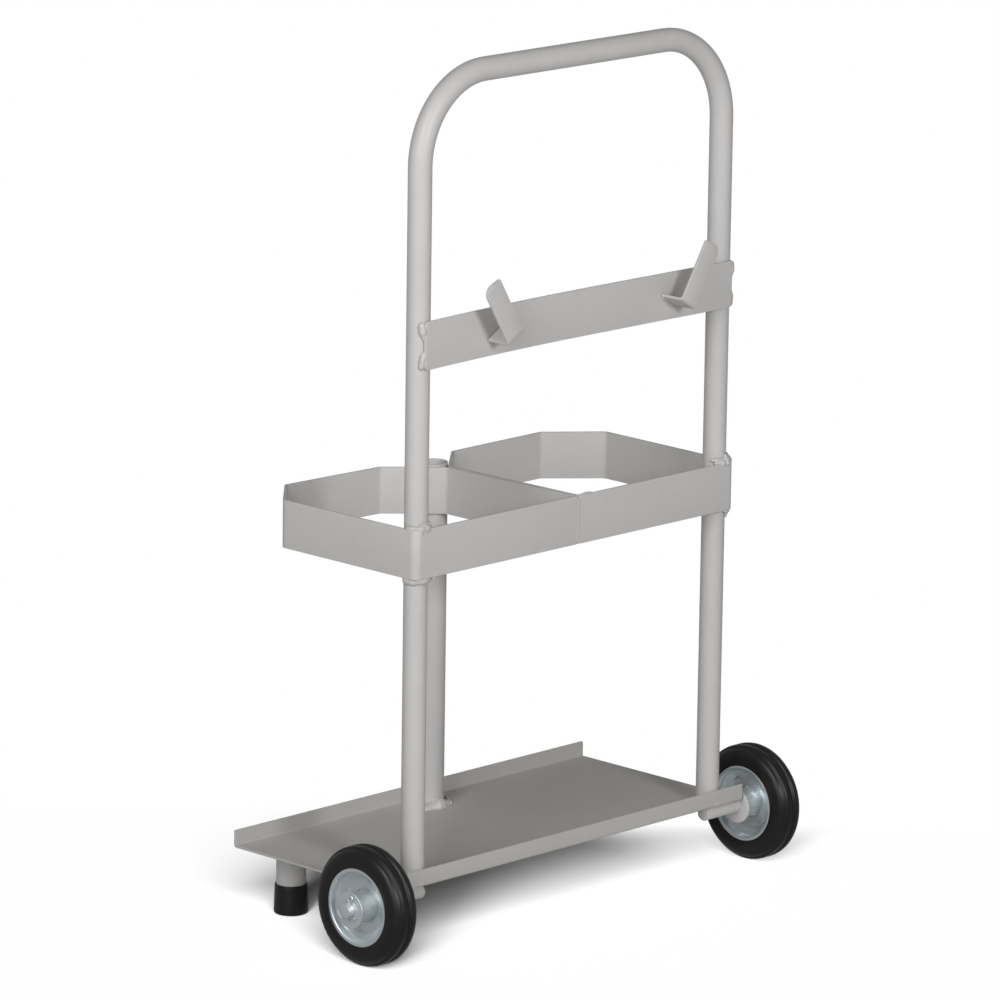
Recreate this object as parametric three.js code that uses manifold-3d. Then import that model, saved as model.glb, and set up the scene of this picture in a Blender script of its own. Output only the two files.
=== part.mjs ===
// Oxy acetylene torch cart: a bent tube handle, two bottle hoops side by side, a folded base
// tray, two wheels on stub axles behind and two rubber-tipped feet in front.
// Millimetres, +Z up. X runs along the top grip, +Y is the bottle side and -Y the user's side.
import * as THREE from 'three';
import { mergeVertices } from 'three/addons/utils/BufferGeometryUtils.js';
import Module from 'manifold-3d';

// Driving dimensions of the whole cart
const trackWidth = 457; // between the axes of the two uprights
const handleHeight = 932.5; // floor to the axis of the top grip
const hoopHeight = 407; // floor to the lower edge of the bottle hoops
const hookBarHeight = 631; // floor to the lower edge of the hook bar
const hoopDepth = 246.3; // back face to front face of a bottle hoop
const seatGap = 0.3; // left between welded or pushed-on pieces
const cutOverrun = 5; // how far a cutting body runs past what it cuts

// Handle tube
const tubeDiameter = 25.4;
const tubeWall = 2;
const handleBendRadius = 93; // to the tube's axis
const bendSteps = 9;
const tubeSides = 20;

// Flat bar of the hook bar and the hoops
const barThickness = 3;
const hookBarWidth = 53;
const hookBarOverhang = 6.5; // past the axis of each upright
const hoopBandWidth = 53;
const hoopBendRadius = 9; // outer radius where the band folds round an upright
const hoopFrontBendRadius = 10; // outer radius at the chamfered front corners
const hoopChamferAcross = 55; // chamfer of the front corners, along X
const hoopChamferDeep = 49.5; // the same, along Y
const hoopSplay = 4.7; // how much wider a hoop is at its front corner than at the upright
const hoopBendSteps = 4;

// Hose hooks
const hookWidth = 26.5;
const hookThickness = 3;
const hookReach = 32; // from the hook bar to the outer face of the tongue
const hookTongueLength = 70.8;
const hookTilt = THREE.MathUtils.degToRad(31); // how far the tongue leans outwards
const hookBendRadius = 5; // outer radius between base leg and tongue
const hookTipRadius = 10; // rounded outer corner at the tip
const hookFromUpright = 108; // upright's axis to the inner lower corner of the tongue
const hookAboveBarEdge = 28.8; // hook bar's lower edge to the same corner

// Base tray
const trayEndOverhang = 40.5; // past the axis of each upright
const trayThickness = 2.5;
const trayLipHeight = 19; // over the tray's underside
const trayDepth = 245.4; // outer face to outer face of the two lips
const trayNearFoldRadius = 2 * seatGap; // inside the fold, so that the uprights stand close to the lip
const trayFarFoldRadius = 3;
const trayFoldSteps = 4;

// Front post and feet
const postDiameter = 32;
const postWall = 2;
const postSides = 24;
const postWeldGap = 0.5; // post to the hoops' chamfers on both sides of it
const footLegDiameter = 32;
const footLegWall = 2;
const footFromTrayEnd = 46; // foot's axis to the nearer end of the tray
const footFromFarLip = 40.9; // foot's axis to the outer face of the far lip
const footCapHeight = 33;
const footCapTopDiameter = 35.2;
const footCapBaseDiameter = 37;
const footCapFloor = 5;
const footCapRound = 3;

// Wheels, all places along the axle measured from the wheel's middle plane
const wheelDiameter = 129;
const wheelOutsideUpright = 69; // wheel's middle plane to the upright's axis
const wheelSides = 36;
const treadHalfWidth = 10.2;
const treadCrown = 0.9; // how much lower the tread's edge is than its middle
const treadEdgeDrop = 2.6; // side of the outer rib
const treadGrooveHalfWidth = 1.2;
const treadGrooveDepth = 2.2;
const treadGrooveSlope = 0.7;
const shoulderStepDepth = 6.5; // from the tread down to the root of the sidewall's bulge
const shoulderStepOut = 1.4; // that root's place outside the tread's edge
const sidewallHalfWidth = 17.2;
const sidewallBulgeRadius = 50; // where the sidewall is widest
const curveSteps = 4;

// Pressed wheel discs
const discThickness = 1.5;
const discLipRadius = 42;
const discLipFromMiddle = 16;
const discBarrelRadius = 37.6; // inner face of the disc's cylindrical part
const discBarrelDepth = 6.5;
const discWebRadius = 27; // where the cone meets the flat web

// Hub, bushes and what holds them on the axle
const hubDiameter = 32;
const hubWall = 4;
const hubInwards = 21; // its inner end
const hubOutwards = 24; // its outer end
const bushLength = 14;
const bearingClearance = 0.1;
const roundSides = 28;
const axleDiameter = 16;
const axleBehindUprights = 2.7; // the axles lie this far towards the user
const axleInsideUpright = 9.5; // its inner end to the upright's axis
const axleBeyondPin = 5; // pin's axis to the axle's outer end
const axleEndChamfer = 1;
const collarDiameter = 39;
const collarThickness = 5.5;
const washerDiameter = 40;
const washerThickness = 2.5;
const endPlay = 0.4; // between the hub's ends and its neighbours
const pinDiameter = 3.2;
const pinClearance = 0.25;
const pinEyeRadius = 3.4; // to the wire's axis
const pinTailLength = 9;
const pinTailAngle = THREE.MathUtils.degToRad(38);
const wireSides = 10;
const eyeSteps = 16;

// Places worked out from the sizes above
const quarterTurn = Math.PI / 2;
const tubeRadius = tubeDiameter / 2;
const postRadius = postDiameter / 2;
const axleRadius = axleDiameter / 2;
const wheelRadius = wheelDiameter / 2;
const trayBottomZ = wheelRadius + axleRadius + seatGap;
const trayTopZ = trayBottomZ + trayThickness;
const barInnerY = -(tubeRadius + seatGap);
const barOuterY = barInnerY - barThickness;
const trayBackY = -(tubeRadius + seatGap + trayThickness);
const hoopFrontY = barOuterY + hoopDepth;
const hoopSideX = trackWidth / 2 + tubeRadius + seatGap + barThickness;
const chamferLength = Math.hypot(hoopChamferAcross, hoopChamferDeep);
const footX = trackWidth / 2 + trayEndOverhang - footFromTrayEnd;
const footY = trayBackY + trayDepth - footFromFarLip;
const postToChamfer = (postRadius + postWeldGap) * chamferLength / hoopChamferAcross;
const postY = hoopFrontY - hoopChamferDeep + postToChamfer;
const wheelFromCentre = trackWidth / 2 + wheelOutsideUpright;
const axleInnerEnd = trackWidth / 2 - axleInsideUpright;
const hubInnerEnd = wheelFromCentre - hubInwards;
const hubOuterEnd = wheelFromCentre + hubOutwards;
const washerSeat = hubOuterEnd + endPlay;
const pinFromCentre = washerSeat + washerThickness + seatGap + pinDiameter / 2;
const axleOuterEnd = pinFromCentre + axleBeyondPin;
const cartBackY = -Math.max(wheelRadius + axleBehindUprights, hookReach - barOuterY);
const cartFrontY = Math.max(hoopFrontY, trayBackY + trayDepth);
const cartMiddleY = (cartBackY + cartFrontY) / 2;

// Finishes
const greyPaint = { color: 0xb4b1af, roughness: 0.45, metalness: 0.0 };
const zincPlate = { color: 0xb9c0c6, roughness: 0.32, metalness: 0.9 };
const blackRubber = { color: 0x1c1c1c, roughness: 0.6, metalness: 0.0 };
const whiteNylon = { color: 0xdcdad2, roughness: 0.5, metalness: 0.0 };

const wasm = await Module();
wasm.setup();

// Geometry to solid and back
function toSolid(geometry) {
  const bare = geometry.clone();
  bare.deleteAttribute('normal');
  bare.deleteAttribute('uv');
  const merged = mergeVertices(bare);
  return new wasm.Manifold(new wasm.Mesh({
    numProp: 3,
    vertProperties: merged.getAttribute('position').array,
    triVerts: Uint32Array.from(merged.getIndex().array),
  }));
}

function toGeometry(solid) {
  const mesh = solid.getMesh();
  const geometry = new THREE.BufferGeometry();
  geometry.setAttribute('position', new THREE.BufferAttribute(mesh.vertProperties, 3));
  geometry.setIndex(new THREE.BufferAttribute(mesh.triVerts, 1));
  geometry.computeVertexNormals();
  return geometry;
}

function sub(name, geometry, finish) {
  const mesh = new THREE.Mesh(geometry, new THREE.MeshStandardMaterial(finish));
  mesh.name = name;
  return mesh;
}

// A path whose sections stand exactly at the given stations
class StationPath extends THREE.Curve {
  constructor(stations) {
    super();
    this.stations = stations;
  }

  stationAt(t) {
    return this.stations[Math.round(t * (this.stations.length - 1))];
  }

  getUtoTmapping(u) {
    return u;
  }

  getPoint(t) {
    return this.stationAt(t).point.clone();
  }

  getTangent(t) {
    return this.stationAt(t).tangent.clone();
  }
}

function sweep(section, stations, sides) {
  return new THREE.ExtrudeGeometry(section, {
    extrudePath: new StationPath(stations),
    steps: stations.length - 1,
    curveSegments: sides / 2, // a full circle gets twice this many
  });
}

function ringSection(outerRadius, innerRadius) {
  const section = new THREE.Shape();
  section.absarc(0, 0, outerRadius, 0, 2 * Math.PI, false);
  const bore = new THREE.Path();
  bore.absarc(0, 0, innerRadius, 0, 2 * Math.PI, true);
  section.holes.push(bore);
  return section;
}

// A straight tube standing on its lower end
function uprightTube(outerRadius, wall, height, sides) {
  return new THREE.ExtrudeGeometry(ringSection(outerRadius, outerRadius - wall), {
    depth: height,
    bevelEnabled: false,
    curveSegments: sides / 2, // a full circle gets twice this many
  });
}

// A solid of revolution about +Y, from an outline given either way round
function turned(outline, sides) {
  const points = outline.map(([radius, along]) => new THREE.Vector2(radius, along));
  const closed = [...points, points[0].clone()];
  const ordered = THREE.ShapeUtils.area(points) > 0 ? closed : closed.reverse();
  return new THREE.LatheGeometry(ordered, sides);
}

// A collar, washer or bush: a ring between two places along +Y
function turnedRing(outerRadius, innerRadius, from, to, sides) {
  return turned([[innerRadius, from], [outerRadius, from], [outerRadius, to], [innerRadius, to]], sides);
}

// Moves each edge of a convex or notched outline inwards, corner by corner
function insetOutline(corners, distance) {
  return corners.map((corner, i) => {
    const before = corners[(i + corners.length - 1) % corners.length];
    const after = corners[(i + 1) % corners.length];
    const arriving = corner.clone().sub(before).normalize();
    const leaving = after.clone().sub(corner).normalize();
    const normalIn = new THREE.Vector2(-arriving.y, arriving.x);
    const normalOut = new THREE.Vector2(-leaving.y, leaving.x);
    const halfway = normalIn.clone().add(normalOut);
    return corner.clone().addScaledVector(halfway, distance / (1 + normalIn.dot(normalOut)));
  });
}

// An outline whose corners are rounded by arcs of their own radius
function roundedOutline(corners, radii, steps) {
  return corners.flatMap((corner, i) => {
    const radius = radii[i];
    if (radius === 0) return [corner];
    const before = corners[(i + corners.length - 1) % corners.length];
    const after = corners[(i + 1) % corners.length];
    const arriving = corner.clone().sub(before).normalize();
    const leaving = after.clone().sub(corner).normalize();
    const turn = Math.atan2(arriving.cross(leaving), arriving.dot(leaving));
    const side = Math.sign(turn);
    const start = corner.clone().addScaledVector(arriving, -radius * Math.tan(Math.abs(turn) / 2));
    const centre = start.clone().add(new THREE.Vector2(-arriving.y, arriving.x).multiplyScalar(side * radius));
    return Array.from({ length: steps + 1 }, (_, k) => start.clone().rotateAround(centre, turn * k / steps));
  });
}

function handleTube() {
  const bendCentreX = trackWidth / 2 - handleBendRadius;
  const bendCentreZ = handleHeight - handleBendRadius;
  const footZ = trayTopZ + seatGap;
  const stations = [{ point: new THREE.Vector3(-trackWidth / 2, 0, footZ), tangent: new THREE.Vector3(0, 0, 1) }];
  for (const side of [-1, 1]) {
    for (let k = 0; k <= bendSteps; k += 1) {
      const share = side < 0 ? k / bendSteps : 1 - k / bendSteps;
      const angle = share * quarterTurn;
      const out = side * (bendCentreX + handleBendRadius * Math.cos(angle));
      const up = bendCentreZ + handleBendRadius * Math.sin(angle);
      const tangent = new THREE.Vector3(Math.sin(angle), 0, -side * Math.cos(angle));
      stations.push({ point: new THREE.Vector3(out, 0, up), tangent });
    }
  }
  stations.push({ point: new THREE.Vector3(trackWidth / 2, 0, footZ), tangent: new THREE.Vector3(0, 0, -1) });
  const section = ringSection(tubeRadius, tubeRadius - tubeWall);
  return sub('handle_tube', sweep(section, stations, tubeSides), greyPaint);
}

function hookBar() {
  const length = trackWidth + 2 * hookBarOverhang;
  const bar = sub('hook_bar', new THREE.BoxGeometry(length, barThickness, hookBarWidth), greyPaint);
  bar.position.set(0, barInnerY - barThickness / 2, hookBarHeight + hookBarWidth / 2);
  return bar;
}

// A strip bent to an L and leaned outwards. In the hook's own frame the bend line lies along X,
// the base leg runs along -Y from the bar and the tongue stands along +Z.
function hoseHook(name, side) {
  const base = hookReach - seatGap;
  const profile = roundedOutline([
    new THREE.Vector2(0, 0),
    new THREE.Vector2(-base, 0),
    new THREE.Vector2(-base, hookTongueLength),
    new THREE.Vector2(-base + hookThickness, hookTongueLength),
    new THREE.Vector2(-base + hookThickness, hookThickness),
    new THREE.Vector2(0, hookThickness),
  ].reverse(), [0, hookBendRadius - hookThickness, 0, 0, hookBendRadius, 0], hoopBendSteps);
  const strip = new THREE.ExtrudeGeometry(new THREE.Shape(profile), { depth: hookWidth, bevelEnabled: false });
  strip.rotateX(quarterTurn).rotateZ(quarterTurn);

  const face = roundedOutline([
    new THREE.Vector2(-cutOverrun, -cutOverrun),
    new THREE.Vector2(hookWidth, -cutOverrun),
    new THREE.Vector2(hookWidth, hookTongueLength),
    new THREE.Vector2(-cutOverrun, hookTongueLength),
  ], [0, 0, hookTipRadius, 0], hoopBendSteps);
  const trim = new THREE.ExtrudeGeometry(new THREE.Shape(face), {
    depth: hookReach + 2 * cutOverrun,
    bevelEnabled: false,
  });
  trim.rotateX(quarterTurn).translate(0, cutOverrun, 0);
  const shaped = toGeometry(toSolid(strip).intersect(toSolid(trim)));
  if (side < 0) {
    const mirrored = toSolid(shaped).mirror([1, 0, 0]);
    return placeHook(sub(name, toGeometry(mirrored), greyPaint), side);
  }
  return placeHook(sub(name, shaped, greyPaint), side);
}

function placeHook(hook, side) {
  hook.rotation.y = side * hookTilt;
  hook.position.set(side * (trackWidth / 2 - hookFromUpright), barOuterY - seatGap, hookBarHeight + hookAboveBarEdge);
  return hook;
}

// One bottle hoop: a flat band folded round the upright, along the side, across two chamfered
// front corners and straight back along the cart's middle to the back run.
function bottleHoop(name, side) {
  const middleX = seatGap / 2;
  const frontStart = hoopFrontY - hoopChamferDeep;
  const frontSideX = hoopSideX + hoopSplay;
  const outer = [
    new THREE.Vector2(middleX, barOuterY),
    new THREE.Vector2(hoopSideX, barOuterY),
    new THREE.Vector2(frontSideX, frontStart),
    new THREE.Vector2(frontSideX - hoopChamferAcross, hoopFrontY),
    new THREE.Vector2(middleX + hoopChamferAcross, hoopFrontY),
    new THREE.Vector2(middleX, frontStart),
  ];
  const front = hoopFrontBendRadius;
  const radii = [0, hoopBendRadius, front, front, front, front];
  const innerRadii = radii.map((radius) => Math.max(0, radius - barThickness));
  const mirrored = (points) => points.map((point) => new THREE.Vector2(-point.x, point.y)).reverse();
  const onSide = (points) => (side < 0 ? mirrored(points) : points);
  const inner = insetOutline(outer, barThickness);
  const shape = new THREE.Shape(onSide(roundedOutline(outer, radii, hoopBendSteps)));
  shape.holes.push(new THREE.Path(onSide(roundedOutline(inner, innerRadii, hoopBendSteps))));
  const band = new THREE.ExtrudeGeometry(shape, { depth: hoopBandWidth, bevelEnabled: false });
  const hoop = sub(name, band, greyPaint);
  hoop.position.z = hoopHeight;
  return hoop;
}

function centerPost() {
  const height = hoopHeight + hoopBandWidth - trayTopZ - seatGap;
  const post = sub('center_post', uprightTube(postRadius, postWall, height, postSides), greyPaint);
  post.position.set(0, postY, trayTopZ + seatGap);
  return post;
}

// A sheet with both long edges folded up, drawn across Y and Z and extruded along X
function baseTray() {
  const nearOuter = trayNearFoldRadius + trayThickness;
  const farOuter = trayFarFoldRadius + trayThickness;
  const profile = roundedOutline([
    new THREE.Vector2(0, 0),
    new THREE.Vector2(trayDepth, 0),
    new THREE.Vector2(trayDepth, trayLipHeight),
    new THREE.Vector2(trayDepth - trayThickness, trayLipHeight),
    new THREE.Vector2(trayDepth - trayThickness, trayThickness),
    new THREE.Vector2(trayThickness, trayThickness),
    new THREE.Vector2(trayThickness, trayLipHeight),
    new THREE.Vector2(0, trayLipHeight),
  ], [nearOuter, farOuter, 0, 0, trayFarFoldRadius, trayNearFoldRadius, 0, 0], trayFoldSteps);
  const length = trackWidth + 2 * trayEndOverhang;
  const sheet = new THREE.ExtrudeGeometry(new THREE.Shape(profile), { depth: length, bevelEnabled: false });
  sheet.rotateX(quarterTurn).rotateZ(quarterTurn);
  const tray = sub('base_tray', sheet, greyPaint);
  tray.position.set(-length / 2, trayBackY, trayBottomZ);
  return tray;
}

function footLeg(name, side) {
  const bottom = footCapFloor + seatGap;
  const height = trayBottomZ - seatGap - bottom;
  const leg = sub(name, uprightTube(footLegDiameter / 2, footLegWall, height, postSides), greyPaint);
  leg.position.set(side * footX, footY, bottom);
  return leg;
}

// A push-on rubber cap: a cup that widens a little towards the floor
function footCap(name, side) {
  const baseRadius = footCapBaseDiameter / 2;
  const topRadius = footCapTopDiameter / 2;
  const boreRadius = footLegDiameter / 2 + seatGap;
  const arc = (centreRadius, centreAlong, radius, from, to) => Array.from({ length: curveSteps + 1 }, (_, k) => {
    const angle = from + (to - from) * k / curveSteps;
    return [centreRadius + radius * Math.cos(angle), centreAlong + radius * Math.sin(angle)];
  });
  const lipRadius = (topRadius - boreRadius) / 2;
  const outline = [
    [0, 0],
    ...arc(baseRadius - footCapRound, footCapRound, footCapRound, -quarterTurn, 0),
    ...arc(topRadius - lipRadius, footCapHeight - lipRadius, lipRadius, 0, quarterTurn),
    [boreRadius, footCapHeight],
    [boreRadius, footCapFloor],
    [0, footCapFloor],
  ];
  const points = outline.map(([radius, along]) => new THREE.Vector2(radius, along));
  const cap = sub(name, new THREE.LatheGeometry(points, postSides), blackRubber);
  cap.rotation.x = quarterTurn;
  cap.position.set(side * footX, footY, 0);
  return cap;
}

// Half of the tyre's section as [radius, place along the axle], from the middle groove out to
// the bead. The other half is its mirror image.
function tyreHalfOutline() {
  const treadEdge = new THREE.Vector2(treadHalfWidth, wheelRadius - treadCrown - treadEdgeDrop);
  const root = new THREE.Vector2(treadHalfWidth + shoulderStepOut, wheelRadius - shoulderStepDepth);
  const beadRadius = discBarrelRadius + discThickness + seatGap;
  const lipInside = discLipFromMiddle - discThickness - seatGap;
  const beadTop = discLipRadius + seatGap;
  const path = new THREE.Path();
  path.moveTo(treadGrooveHalfWidth, wheelRadius - treadGrooveDepth);
  path.lineTo(treadGrooveHalfWidth + treadGrooveSlope, wheelRadius);
  path.quadraticCurveTo(treadHalfWidth, wheelRadius - treadCrown / 2, treadEdge.x, treadEdge.y);
  path.lineTo(root.x, root.y);
  path.quadraticCurveTo(sidewallHalfWidth, root.y, sidewallHalfWidth, sidewallBulgeRadius);
  path.quadraticCurveTo(sidewallHalfWidth, beadTop, discLipFromMiddle, beadTop);
  path.lineTo(lipInside, beadTop);
  path.lineTo(lipInside, beadRadius);
  return path.getPoints(curveSteps).map((point) => [point.y, point.x]);
}

function tyre(name) {
  const half = tyreHalfOutline();
  const mirrored = half.map(([radius, along]) => [radius, -along]).reverse();
  return sub(name, turned([...mirrored, ...half], wheelSides), blackRubber);
}

// A pressed disc: a flat web at the hub, a cone, a short cylinder and a lip over the tyre
function wheelDisc(name, facing) {
  const hubRadius = hubDiameter / 2 + seatGap;
  const web = seatGap / 2;
  const barrelStart = discLipFromMiddle - discBarrelDepth;
  const outline = [
    [hubRadius, web],
    [discWebRadius + discThickness, web],
    [discBarrelRadius + discThickness, barrelStart],
    [discBarrelRadius + discThickness, discLipFromMiddle - discThickness],
    [discLipRadius, discLipFromMiddle - discThickness],
    [discLipRadius, discLipFromMiddle],
    [discBarrelRadius, discLipFromMiddle],
    [discBarrelRadius, barrelStart],
    [discWebRadius, web + discThickness],
    [hubRadius, web + discThickness],
  ];
  return sub(name, turned(outline.map(([radius, along]) => [radius, facing * along]), wheelSides), zincPlate);
}

function wheelPieces(sideName) {
  const hubRadius = hubDiameter / 2;
  const bushOuter = hubRadius - hubWall - seatGap;
  const bushInner = axleRadius + bearingClearance;
  const hub = turnedRing(hubRadius, hubRadius - hubWall, -hubInwards, hubOutwards, roundSides);
  const bush = (from, to) => turnedRing(bushOuter, bushInner, from, to, roundSides);
  return [
    tyre(`${sideName}_tyre`),
    wheelDisc(`${sideName}_outer_disc`, 1),
    wheelDisc(`${sideName}_inner_disc`, -1),
    sub(`${sideName}_hub`, hub, zincPlate),
    sub(`${sideName}_outer_bush`, bush(hubOutwards - bushLength, hubOutwards), whiteNylon),
    sub(`${sideName}_inner_bush`, bush(-hubInwards, bushLength - hubInwards), whiteNylon),
  ];
}

// The axle lies along +Y here, with a cross hole along Z for the split pin
function stubAxle(name) {
  const rod = turned([
    [0, axleInnerEnd],
    [axleRadius - axleEndChamfer, axleInnerEnd],
    [axleRadius, axleInnerEnd + axleEndChamfer],
    [axleRadius, axleOuterEnd - axleEndChamfer],
    [axleRadius - axleEndChamfer, axleOuterEnd],
    [0, axleOuterEnd],
  ].reverse(), roundSides);
  const drill = new THREE.CylinderGeometry(
    pinDiameter / 2 + pinClearance,
    pinDiameter / 2 + pinClearance,
    axleDiameter + 2 * cutOverrun,
    wireSides,
  );
  drill.rotateX(quarterTurn).translate(0, pinFromCentre, 0);
  return sub(name, toGeometry(toSolid(rod).subtract(toSolid(drill))), zincPlate);
}

// A split pin through the axle: shank, eye on top and two tails spread below
function splitPin(name) {
  const wireRadius = pinDiameter / 2;
  const shankTop = axleRadius + pinClearance + wireRadius;
  const shankBottom = -(axleRadius + pinClearance + wireRadius);
  const shank = new THREE.CylinderGeometry(wireRadius, wireRadius, shankTop - shankBottom, wireSides);
  shank.rotateX(quarterTurn).translate(0, 0, (shankTop + shankBottom) / 2);
  const eye = new THREE.TorusGeometry(pinEyeRadius, wireRadius / 2, wireSides, eyeSteps);
  eye.rotateX(quarterTurn).translate(0, 0, shankTop + pinEyeRadius);
  let pin = toSolid(shank).add(toSolid(eye));
  for (const side of [-1, 1]) {
    const tail = new THREE.CylinderGeometry(wireRadius / 2, wireRadius / 2, pinTailLength, wireSides);
    tail.rotateX(quarterTurn).translate(side * wireRadius / 2, 0, -pinTailLength / 2);
    tail.rotateY(-side * pinTailAngle).translate(0, 0, shankBottom + wireRadius / 2);
    pin = pin.add(toSolid(tail));
  }
  return sub(name, toGeometry(pin), zincPlate);
}

// Everything on one axle. In this group +Y points outwards from the cart's middle.
function axleSet(sideName, side) {
  const set = new THREE.Group();
  set.position.set(0, -axleBehindUprights, wheelRadius);
  set.rotation.z = -side * quarterTurn;
  const collarFace = hubInnerEnd - endPlay;
  const bore = axleRadius + bearingClearance;
  const collar = turnedRing(collarDiameter / 2, bore, collarFace - collarThickness, collarFace, roundSides);
  const washer = turnedRing(washerDiameter / 2, bore, washerSeat, washerSeat + washerThickness, roundSides);
  set.add(stubAxle(`${sideName}_axle`));
  set.add(sub(`${sideName}_axle_collar`, collar, greyPaint));
  set.add(sub(`${sideName}_hub_washer`, washer, zincPlate));
  const pin = splitPin(`${sideName}_split_pin`);
  pin.position.y = pinFromCentre;
  set.add(pin);
  const wheel = new THREE.Group();
  wheel.position.y = wheelFromCentre;
  wheelPieces(sideName).forEach((piece) => wheel.add(piece));
  set.add(wheel);
  return set;
}

function cart() {
  const frame = new THREE.Group();
  frame.position.y = -cartMiddleY;
  frame.add(handleTube(), hookBar(), centerPost(), baseTray());
  for (const [sideName, side] of [['left', -1], ['right', 1]]) {
    frame.add(hoseHook(`${sideName}_hose_hook`, side));
    frame.add(bottleHoop(`${sideName}_bottle_hoop`, side));
    frame.add(footLeg(`${sideName}_foot_leg`, side));
    frame.add(footCap(`${sideName}_foot_cap`, side));
    frame.add(axleSet(sideName, side));
  }
  return frame;
}

export default cart();
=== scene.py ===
"""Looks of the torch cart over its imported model: smooth bent tube, flat bar with broken edges,
weld seams under the paint, turned tyres and plated wheel pieces.

Shapes are worked out in millimetres in the cart's own frame, where the uprights stand on y = 0,
and make_piece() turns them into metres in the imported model's frame."""
import math

import bpy
import numpy as np
from mathutils import Matrix, Vector


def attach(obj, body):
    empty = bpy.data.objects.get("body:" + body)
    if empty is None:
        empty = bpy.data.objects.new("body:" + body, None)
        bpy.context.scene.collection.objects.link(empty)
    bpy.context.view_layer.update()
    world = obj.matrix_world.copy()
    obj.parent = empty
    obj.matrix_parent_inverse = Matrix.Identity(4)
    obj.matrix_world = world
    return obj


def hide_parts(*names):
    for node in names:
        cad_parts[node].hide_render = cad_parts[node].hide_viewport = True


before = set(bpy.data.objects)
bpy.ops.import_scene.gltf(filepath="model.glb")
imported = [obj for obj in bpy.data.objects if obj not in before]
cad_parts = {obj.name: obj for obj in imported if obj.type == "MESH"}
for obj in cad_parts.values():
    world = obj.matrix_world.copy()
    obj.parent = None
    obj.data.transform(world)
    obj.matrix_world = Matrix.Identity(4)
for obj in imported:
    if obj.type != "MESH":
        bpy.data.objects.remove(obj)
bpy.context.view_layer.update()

METRE = 0.001
UPRIGHTS_Y = -81.55
SIDES = (("left", -1), ("right", 1))
EDGE_STEPS = 3  # facets in the quarter circle of a broken edge

# Sizes of the cart, in mm; places along Y are from the uprights and heights from the floor
TRACK_WIDTH = 457.0
HANDLE_HEIGHT = 932.5
TUBE_RADIUS = 12.7
TUBE_WALL = 2.0
HANDLE_BEND_RADIUS = 93.0
SEAT_GAP = 0.3
BAR_THICKNESS = 3.0
HOOK_BAR_BOTTOM = 632.6
HOOK_BAR_WIDTH = 51.3
HOOK_BAR_OVERHANG = 5.2
HOOK_BAR_CREST_X = -10.0
HOOK_BAR_SAG_LEFT = 3.6
HOOK_BAR_SAG_RIGHT = 0.6
HOOK_BAR_EDGE = 0.7
HOOK_BAR_CORNER = 4.5
HOOP_BOTTOM = 407.0
HOOP_WIDTH = 53.0
HOOP_DEPTH = 246.3
HOOP_BEND = 9.0
HOOP_FRONT_BEND = 10.0
HOOP_INNER_BEND = 3.4
CHAMFER_ACROSS = 55.0
CHAMFER_DEEP = 49.5
HOOP_SPLAY = 4.7
HOOP_EDGE = 0.6
# The hoops are uneven, each in its own way: its outer chamfer's width and depth, and how far its top
# edge, then its bottom edge, has risen at the front, each as (at the post, at the outer corner)
HOOP_OUTER_CUT = {-1: (52.0, 51.5), 1: (CHAMFER_ACROSS, CHAMFER_DEEP)}
HOOP_TWIST = {-1: ((-2.6, 1.4), (-1.2, 2.4)), 1: ((-1.6, -0.4), (-0.2, -0.2))}
HOOK_WIDTH = 24.9
HOOK_THICKNESS = 3.0
HOOK_REACH = 32.0
HOOK_LENGTH = 70.8
HOOK_TILT = math.radians(31)
HOOK_BEND = 5.0
HOOK_GAP = 1.3
HOOK_TIP = 10.0
HOOK_TIP_INNER = 1.6
HOOK_TIP_SLANT = 3.0
HOOK_X = 120.5
HOOK_Z = HOOK_BAR_BOTTOM + 27.2
TRAY_BOTTOM = 72.8
TRAY_THICKNESS = 2.5
TRAY_LIP = 19.0
TRAY_DEPTH = 245.4
TRAY_HALF_LENGTH = 269.0
TRAY_NEAR_FOLD = 0.6
TRAY_FAR_FOLD = 0.8
POST_RADIUS = 16.0
POST_GAP = 0.5
LEG_RADIUS = 16.0
TUBE_STOCK_WALL = 2.0
FOOT_X = 223.0
FOOT_Y = 189.0
CAP_HEIGHT = 33.0
CAP_TOP_RADIUS = 17.6
CAP_BASE_RADIUS = 18.5
CAP_FLOOR = 5.0
WHEEL_X = 297.5
WHEEL_Y = -2.7
WHEEL_RADIUS = 64.5
HUB_RADIUS = 16.0
HUB_WALL = 4.0
HUB_INWARDS = 21.0
HUB_OUTWARDS = 24.0
AXLE_RADIUS = 8.0
AXLE_PLAY = 0.1
AXLE_INNER_END = 219.0
COLLAR_RADIUS = 19.0
COLLAR_FROM = 272.4
COLLAR_TO = 276.1
COLLAR_HANG = 1.4
WASHER_RADIUS = 20.0
WASHER_FROM = 321.9
WASHER_TO = 324.4
PIN_X = 326.3
AXLE_OUTER_END = 331.3
BUSH_LENGTH = 14.0

BAR_INNER_Y = -(TUBE_RADIUS + SEAT_GAP)
BAR_OUTER_Y = BAR_INNER_Y - BAR_THICKNESS
TRAY_TOP = TRAY_BOTTOM + TRAY_THICKNESS
TRAY_BACK_Y = -(TUBE_RADIUS + SEAT_GAP + TRAY_THICKNESS)
HOOP_TOP = HOOP_BOTTOM + HOOP_WIDTH
HOOP_FRONT_Y = BAR_OUTER_Y + HOOP_DEPTH
HOOP_SIDE_X = TRACK_WIDTH / 2 + TUBE_RADIUS + SEAT_GAP + BAR_THICKNESS
CHAMFER_LENGTH = math.hypot(CHAMFER_ACROSS, CHAMFER_DEEP)
POST_Y = HOOP_FRONT_Y - CHAMFER_DEEP + (POST_RADIUS + POST_GAP) * CHAMFER_LENGTH / CHAMFER_ACROSS


# ---- Surfaces

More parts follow.
